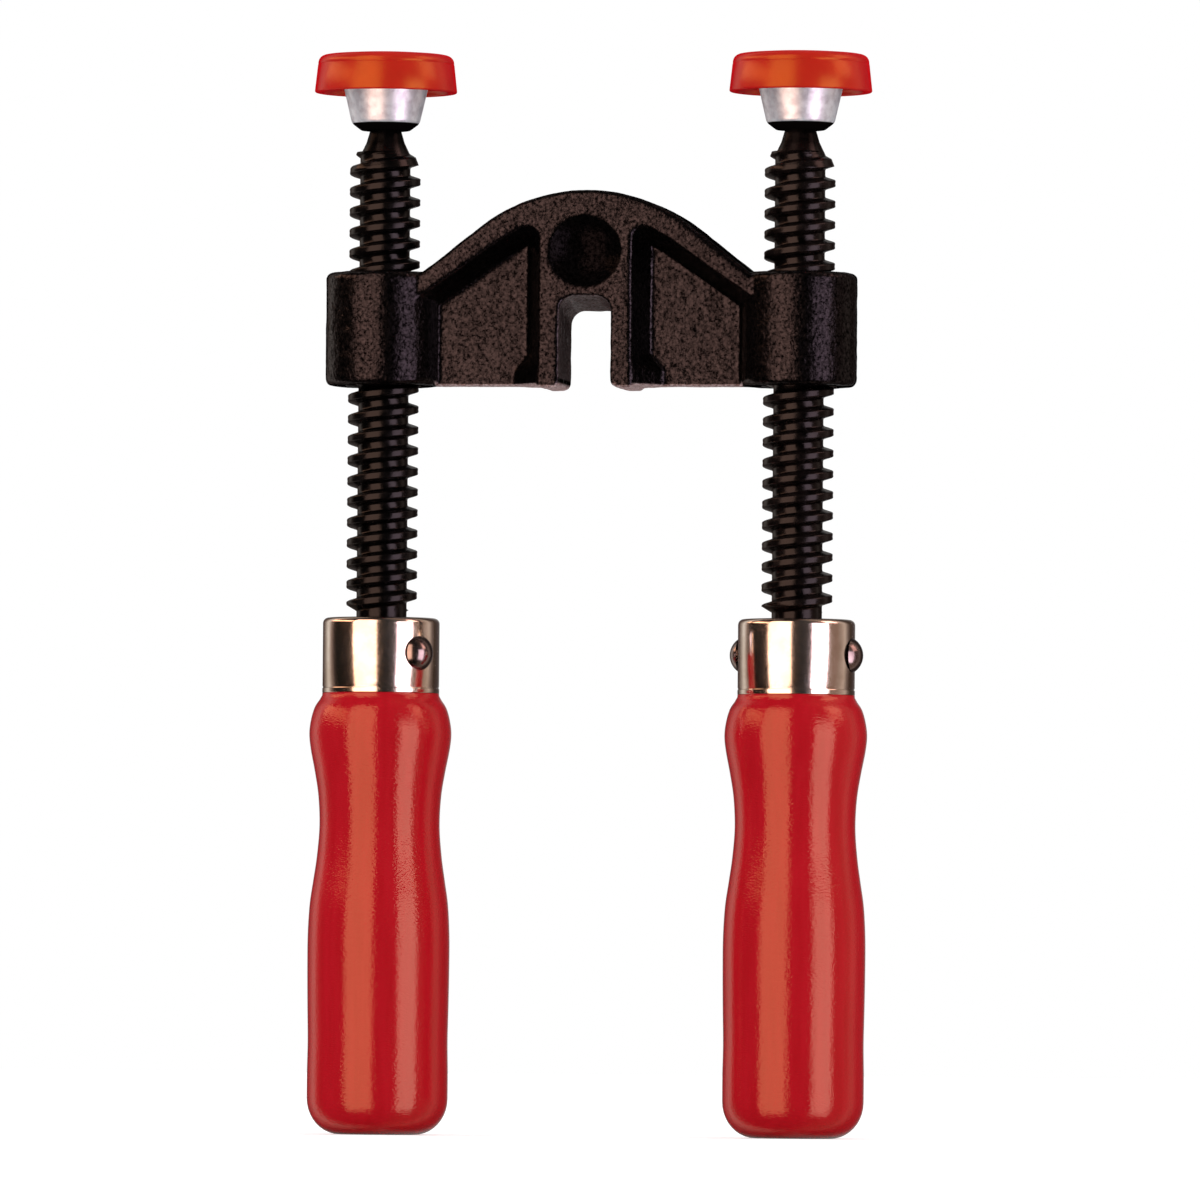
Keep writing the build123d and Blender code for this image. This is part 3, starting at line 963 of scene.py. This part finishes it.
@dataclass
class Ferrule:
    """The drawn metal cap on the handle end."""

    side: Side
    material: Material
    radius: float = 11.3
    wall: float = 0.9
    hole: float = 5.1
    steps: int = 96
    edge: float = 1.1
    bead_height: float = 0.95
    bead: float = 0.14
    groove: tuple[float, float, float] = (0.12, 0.28, 0.42)
    step: float = 0.03
    mouth_edge: float = 0.2
    hole_edge: float = 0.3

    def build(self) -> None:
        """Makes the ferrule."""
        low, high = LAYOUT.ferrule_bottom, LAYOUT.ferrule_top
        line = low + self.bead_height
        inside = self.radius - self.wall
        upper = self.radius - self.step
        start, end, out = self.groove
        corners = [
            (inside, low),
            (self.radius, low),
            (self.radius, line),
            (self.radius - self.bead, line + start),
            (self.radius - self.bead, line + end),
            (upper, line + out),
            (upper, high),
            (self.hole, high),
            (self.hole, high - self.wall),
            (inside, high - self.wall),
        ]
        turned = Turning(corners, self.steps, closed=True)
        turned.round_ring(upper, high, self.edge, 6)
        turned.round_ring(self.radius, low, self.mouth_edge, 3)
        turned.round_ring(self.hole, high, self.hole_edge, 3)
        turned.install(self.side, "ferrule_cap", self.material, "screw", "nickel_plate", "ferrule")


@dataclass
class Rivet:
    """The cross rivet, a shank with a peened dome at each end."""

    side: Side
    material: Material
    azimuth: float
    shank: float = 2.0
    head: float = 3.3
    head_height: float = 1.9
    undercut: float = 0.12
    seat: float = 11.3
    arc_steps: int = 10
    steps: int = 40

    def half(self) -> list[Point2]:
        """One end of the rivet, from the middle of the shank to the tip.

        Returns:
            Radius and height of each corner.
        """
        dome = (self.head**2 + self.head_height**2) / (2 * self.head_height)
        centre = self.seat + self.head_height - dome
        rim_angle = acos(self.head / dome)
        return [
            (self.shank, 0.0),
            (self.shank, self.seat),
            (self.head - self.undercut, self.seat),
            *arc(centre, dome, rim_angle, pi / 2, self.arc_steps)[:-1],
            (0.0, centre + dome),
        ]

    def build(self) -> None:
        """Makes the rivet."""
        upper = self.half()
        lower = [(r, -z) for r, z in reversed(upper)]
        turned = Turning([*lower, *upper[1:]], self.steps)
        lay = Matrix.Rotation(radians(90), 4, "Y")
        swing = Matrix.Rotation(radians(self.azimuth - 90), 4, "Z")
        turned.turn(Matrix.Translation((0, 0, LAYOUT.rivet_height)) @ swing @ lay)
        turned.install(self.side, "rivet_pin", self.material, "screw", "rivet_steel", "rivet")


@dataclass
class SwivelPlate:
    """The pressure plate: a cup round the ball, with a rolled lower lip, and its flange."""

    side: Side
    material: Material
    steps: int = 80
    lip: float = 4.7
    lip_height: float = 1.4
    lower: float = 6.55
    upper: float = 8.4
    mouth: float = 3.8
    flange: float = 12.2
    seat: float = 4.35
    step_angle: float = 4.0
    arc_steps: int = 9
    shoulder_edge: float = 0.55
    lip_edge: float = 0.2
    rim_edge: float = 0.5
    root_edge: float = 0.6
    shade_margin: float = 0.02

    def build(self) -> None:
        """Makes the plate."""
        low = LAYOUT.cup_bottom
        shoulder = low + self.lip_height
        centre = LAYOUT.ball_centre
        mouth_angle = atan2(centre - low, self.mouth)
        channel = hypot(self.mouth, centre - low)
        step = radians(self.step_angle)
        corners = [
            (0.0, LAYOUT.flange_top),
            (self.flange, LAYOUT.flange_top),
            (self.flange, LAYOUT.flange_bottom),
            (self.upper, LAYOUT.flange_bottom),
            (self.lower, shoulder),
            (self.lip, low),
            *arc(centre, channel, -mouth_angle, step, self.arc_steps),
            *arc(centre, self.seat, step, pi / 2, self.arc_steps)[:-1],
            (0.0, centre + self.seat),
        ]
        turned = Turning(corners, self.steps)
        turned.round_ring(self.lower, shoulder, self.shoulder_edge, 6)
        turned.round_ring(self.lip, low, self.lip_edge, 3)
        turned.round_ring(self.flange, LAYOUT.flange_top, self.rim_edge, 3)
        turned.round_ring(self.upper, LAYOUT.flange_bottom, self.root_edge, 4)
        piece = turned.install(
            self.side, "swivel_plate", self.material, "pad", "zinc_steel", "pressure_plate"
        )
        # Painted shade: the plate turns near-black below the lip's shoulder.
        edge = shoulder - self.shade_margin
        store(piece.data, PlatedMetal.oiled, lambda place, _: float(place.z < edge))


@dataclass
class PadCap:
    """The moulded cap snapped over the plate's flange."""

    side: Side
    material: Material
    steps: int = 96
    rim: float = 13.8
    shoulder: float = 13.0
    flat: float = 8.8
    crown: float = 0.35
    skirt: float = 2.1
    inside: float = 12.25
    flare: float = 0.2
    play: float = 0.05
    lip_reach: float = 0.35
    lip_height: float = 1.1
    edge: float = 1.2
    rim_edge: float = 0.35
    mouth_edge: float = 0.25
    parting_drop: float = 2.0
    parting_half: float = 0.12
    parting_depth: float = 0.06
    parting_lip: float = 0.02

    def build(self) -> None:
        """Makes the cap."""
        top = LAYOUT.cap_top
        ceiling = LAYOUT.flange_top + self.play
        rim_height = LAYOUT.flange_bottom - self.skirt
        lip_top = LAYOUT.flange_bottom - self.play
        lip = self.inside - self.lip_reach
        parting = top - self.parting_drop
        slope = (self.rim - self.shoulder) / (top - self.crown - rim_height)
        wall = self.shoulder + slope * (top - self.crown - parting)
        corners = [
            (0.0, ceiling),
            (self.inside, ceiling),
            (self.inside, lip_top),
            (lip, lip_top - self.lip_reach),
            (lip, lip_top - self.lip_height),
            (self.inside, lip_top - self.lip_height - self.lip_reach),
            (self.inside + self.flare, rim_height),
            (self.rim, rim_height),
            (wall + self.parting_lip, parting - self.parting_half),
            (wall - self.parting_depth, parting),
            (wall - self.parting_lip, parting + self.parting_half),
            (self.shoulder, top - self.crown),
            (self.flat, top),
            (0.0, top),
        ]
        turned = Turning(corners, self.steps)
        turned.round_ring(self.shoulder, top - self.crown, self.edge, 7)
        turned.round_ring(self.rim, rim_height, self.rim_edge, 4)
        turned.round_ring(self.inside + self.flare, rim_height, self.mouth_edge, 3)
        turned.install(self.side, "cap", self.material, "pad", "cap_plastic", "pad_cap")


@dataclass(frozen=True)
class Lamp:
    """One soft upright lamp that faces the clamp, in degrees and metres."""

    name: str
    azimuth: float
    half_width: float
    radiance: Colour
    low: float = 0.01
    high: float = 0.56
    distance: float = 1.3

    @property
    def width(self) -> float:
        """Width of the lamp in metres."""
        return 2 * self.distance * tan(radians(self.half_width))

    @property
    def colour(self) -> Colour:
        """The light's colour, whose strongest part is 1."""
        return tuple(part / max(self.radiance) for part in self.radiance)

    def build(self) -> None:
        """Adds the lamp, which shows in glossy surfaces and leaves matt ones to the world."""
        a = radians(self.azimuth)
        back = Vector((sin(a), -cos(a), 0.0))
        data = bpy.data.lights.new(self.name, "AREA")
        data.shape = "RECTANGLE"
        data.size = self.width
        data.size_y = self.high - self.low
        data.energy = max(self.radiance) * pi * data.size * data.size_y
        data.color = self.colour
        lamp = show(self.name, data)
        lamp.location = back * self.distance + Vector((0, 0, (self.low + self.high) / 2))
        lamp.rotation_mode = "QUATERNION"
        lamp.rotation_quaternion = back.to_track_quat("Z", "Y")
        lamp.visible_diffuse = False

    def carry_down(self, depth: float) -> None:
        """Adds a panel of the same light that goes on below the floor, which gloss sees through.

        Args:
            depth: How far down it reaches, in metres.
        """
        b = NodeBuilder.material(f"{self.name}_light")
        glow = b.node("ShaderNodeEmission", {"Color": self.colour, "Strength": max(self.radiance)})
        material = b.finish(glow.outputs[0])
        material.cycles.emission_sampling = "NONE"
        upright = Matrix.Rotation(radians(90.0), 4, "X")
        sized = Matrix.Diagonal((self.width, depth, 1.0, 1.0))
        moved = Matrix.Translation((0.0, -self.distance, self.low - depth / 2))
        turn = Matrix.Rotation(radians(self.azimuth), 4, "Z")
        panel = show_panel(f"{self.name}_panel", 0.5, material, turn @ moved @ upright @ sized)
        panel.visible_camera = panel.visible_diffuse = panel.visible_shadow = False


@dataclass(frozen=True)
class Surround:
    """What polished surfaces see round the clamp, as colours by azimuth.

    Each stop is an azimuth in degrees from the front towards +X and the colour there. The white
    backdrop stands behind the clamp, and the front is dark between the lamps, which are real.
    """

    stops: tuple[tuple[float, Colour], ...] = (
        (-180.0, (0.30, 0.29, 0.28)), (-163.0, (0.12, 0.10, 0.09)),
        (-148.0, (0.06, 0.03, 0.03)), (-134.0, (0.30, 0.24, 0.20)),
        (-119.0, (0.90, 0.80, 0.72)), (-108.0, (0.30, 0.20, 0.16)),
        (-98.0, (0.04, 0.025, 0.02)), (-88.0, (0.006, 0.006, 0.004)),
        (-62.0, (0.02, 0.012, 0.009)), (4.0, (0.02, 0.015, 0.01)),
        (20.0, (0.01, 0.01, 0.01)), (36.0, (0.05, 0.04, 0.035)),
        (78.0, (0.30, 0.20, 0.15)), (92.0, (0.27, 0.16, 0.12)),
        (105.0, (0.36, 0.25, 0.20)), (119.0, (0.60, 0.46, 0.38)),
        (129.0, (0.20, 0.14, 0.12)), (140.0, (0.05, 0.03, 0.02)),
        (165.0, (0.08, 0.06, 0.06)), (180.0, (0.30, 0.29, 0.28)),
    )

    def build(self, b: NodeBuilder, direction: NodeSocket) -> NodeSocket:
        """Adds the nodes that turn a direction into its colour.

        Args:
            b: The node builder.
            direction: A vector from the clamp outwards.

        Returns:
            The colour output.
        """
        parts = b.node("ShaderNodeSeparateXYZ", {0: direction}).outputs
        front = b.combine("MULTIPLY", parts["Y"], -1.0)
        azimuth = b.combine("ARCTAN2", parts["X"], front)
        share = b.spread(azimuth, 0.0, 1.0, (-pi, pi))
        angles, colours = zip(*self.stops)
        return b.ramp(share, [(angle + 180.0) / 360.0 for angle in angles], colours)


@dataclass
class Studio:
    """Floor, world, lamps and camera."""

    azimuth: float = 8.8
    distance: float = 2.6
    eye_height: float = 0.022
    aim: Point3 = (0.0022, 0.0, 0.10335)
    roll: float = 0.48
    field_width: float = 0.2312
    sensor: float = 36.0
    near: float = 0.05
    far: float = 50.0
    floor_half: float = 3.0
    floor_colour: Colour = (0.8, 0.8, 0.8)
    ambient: float = 0.92
    floor_glow: float = 0.45
    lamp_depth: float = 0.9
    lamps: tuple[Lamp, ...] = (
        Lamp("left_lamp", -25.0, 24.0, (3.7, 2.3, 1.7)),
        Lamp("right_lamp", 57.0, 17.0, (4.2, 3.2, 3.6)),
    )
    wings: tuple[Lamp, ...] = (
        Lamp("upper_left", -25.0, 24.0, (3.7, 2.3, 1.7), 0.56, 1.6),
        Lamp("upper_side", -80.0, 28.0, (3.4, 1.8, 1.1), 0.50, 0.95),
        Lamp("upper_right", 86.0, 15.0, (3.6, 2.0, 1.7), 0.60, 1.6),
    )

    def camera(self) -> None:
        """Adds the camera at the photograph's viewing angle."""
        a = radians(self.azimuth)
        spot = Vector((sin(a) * self.distance, -cos(a) * self.distance, self.eye_height))
        data = bpy.data.cameras.new("camera")
        data.sensor_width = self.sensor
        data.lens = self.sensor * self.distance / self.field_width
        data.clip_start = self.near
        data.clip_end = self.far
        camera = show("camera", data)
        look = (Vector(self.aim) - spot).to_track_quat("-Z", "Y").to_matrix().to_4x4()
        turn = Matrix.Rotation(radians(self.roll), 4, "Z")
        camera.matrix_world = Matrix.Translation(spot) @ look @ turn
        bpy.context.scene.camera = camera

    def plain(self, b: NodeBuilder, strength: float) -> NodeSocket:
        """A background shader of one grey."""
        inputs = {"Color": (1.0, 1.0, 1.0), "Strength": strength}
        return b.node("ShaderNodeBackground", inputs).outputs[0]

    def world(self) -> None:
        """Makes a world that is white to the camera, grey to matt surfaces and a room to gloss."""
        b = NodeBuilder(bpy.data.worlds.new("studio"))
        path = b.node("ShaderNodeLightPath").outputs
        direction = b.node("ShaderNodeTexCoord").outputs["Generated"]
        room = b.node("ShaderNodeBackground", {"Color": Surround().build(b, direction)})
        polished = b.combine("MAXIMUM", path["Is Glossy Ray"], path["Is Transmission Ray"])
        inner = b.mix(polished, self.plain(b, self.ambient), room.outputs[0])
        outer = b.mix(path["Is Camera Ray"], inner, self.plain(b, 1.0))
        bpy.context.scene.world = b.finish(outer)

    def floor_finish(self) -> Material:
        """Makes a matt white that keeps shadows and that gloss sees through.

        Returns:
            The material.
        """
        b = NodeBuilder.material("floor_white")
        path = b.node("ShaderNodeLightPath").outputs
        matt = b.node("ShaderNodeBsdfDiffuse", {"Color": self.floor_colour}).outputs[0]
        strength = b.combine("MULTIPLY", path["Is Camera Ray"], self.floor_glow)
        glow = b.node("ShaderNodeEmission", {"Strength": strength}).outputs[0]
        plain = b.node("ShaderNodeAddShader", {0: matt, 1: glow}).outputs[0]
        clear = b.node("ShaderNodeBsdfTransparent").outputs[0]
        return b.finish(b.mix(path["Is Glossy Ray"], plain, clear))

    def floor(self, rings: Sequence[Object]) -> None:
        """Adds a plain pale floor, white to the camera but for the clamp's shadow.

        Args:
            rings: The bodies that carry the spindles along. A handle fed downwards
                takes the floor with it instead of sinking into it.
        """
        floor = show_panel("floor", self.floor_half, self.floor_finish(), Matrix.Identity(4))
        for ring in rings:
            below = floor.constraints.new("FLOOR")
            below.target = ring
            below.floor_location = "FLOOR_NEGATIVE_Z"

    def build(self, rings: Sequence[Object]) -> None:
        """Adds everything that isn't part of the clamp.

        Args:
            rings: The bodies that carry the spindles along.
        """
        for lamp in (*self.lamps, *self.wings):
            lamp.build()
        for lamp in self.lamps:
            lamp.carry_down(self.lamp_depth)
        self.world()
        self.floor(rings)
        self.camera()
        bpy.context.scene.view_settings.view_transform = "Standard"


@dataclass
class Clamp:
    """The whole edge clamp."""

    lacquer: Lacquer = Lacquer()
    plastic: MouldedPlastic = MouldedPlastic()
    nickel: PlatedMetal = PlatedMetal(
        "nickel", (0.80, 0.74, 0.68), (0.66, 0.58, 0.50), (0.11, 0.19), (2.2, 2.2, 3.0)
    )
    zinc: PlatedMetal = PlatedMetal(
        "zinc", (0.88, 0.92, 0.99), (0.64, 0.65, 0.72), (0.30, 0.44), (1.6, 1.6, 2.0),
        line_depth=0.006, blotch=1.7, metallic=0.45,
    )
    peened: PlatedMetal = PlatedMetal(
        "peened_steel", (0.30, 0.26, 0.25), (0.16, 0.13, 0.13), (0.14, 0.26)
    )
    wire: PlatedMetal = PlatedMetal("spring_wire", (0.5, 0.5, 0.5), (0.35, 0.34, 0.33), (0.2, 0.35))
    rivet_azimuths: Point2 = (51.0, 82.0)
    thread_start: float = 241.0

    def screw_finish(self, side: Side) -> BlackSteel:
        """The steel of a side's screw: the right one has worn a little browner.

        Args:
            side: Which side.

        Returns:
            Its finish.
        """
        if side is Side.RIGHT:
            return BlackSteel("black_steel_right", (0.0010, 0.0007, 0.0007), (0.010, 0.006, 0.0055))
        return BlackSteel("black_steel_left")

    def build(self) -> None:
        """Builds every piece in order."""
        Casting().build()
        lacquer = self.lacquer.build()
        plastic = self.plastic.build()
        nickel = self.nickel.build()
        zinc = self.zinc.build()
        peened = self.peened.build()
        wire = self.wire.build()
        for side, azimuth in zip(Side, self.rivet_azimuths):
            Screw(side, self.screw_finish(side), self.thread_start + azimuth - 90.0).build()
            Handle(side, lacquer).build()
            Ferrule(side, nickel).build()
            Rivet(side, peened, azimuth).build()
            SwivelPlate(side, zinc).build()
            PadCap(side, plastic).build()
            ring = frame["nodes"][side.node("snap_ring")]
            ring.data.materials.clear()
            ring.data.materials.append(wire)
            LOG.info("%s dressed", ring.name)


def main() -> None:
    """Builds the clamp and the studio."""
    logging.basicConfig(level=logging.INFO, format="%(name)s: %(message)s")
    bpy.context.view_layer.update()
    Clamp().build()
    Studio().build([frame["bodies"][side.node("ring")] for side in Side])
    bpy.context.view_layer.update()


if __name__ == "__main__":
    main()
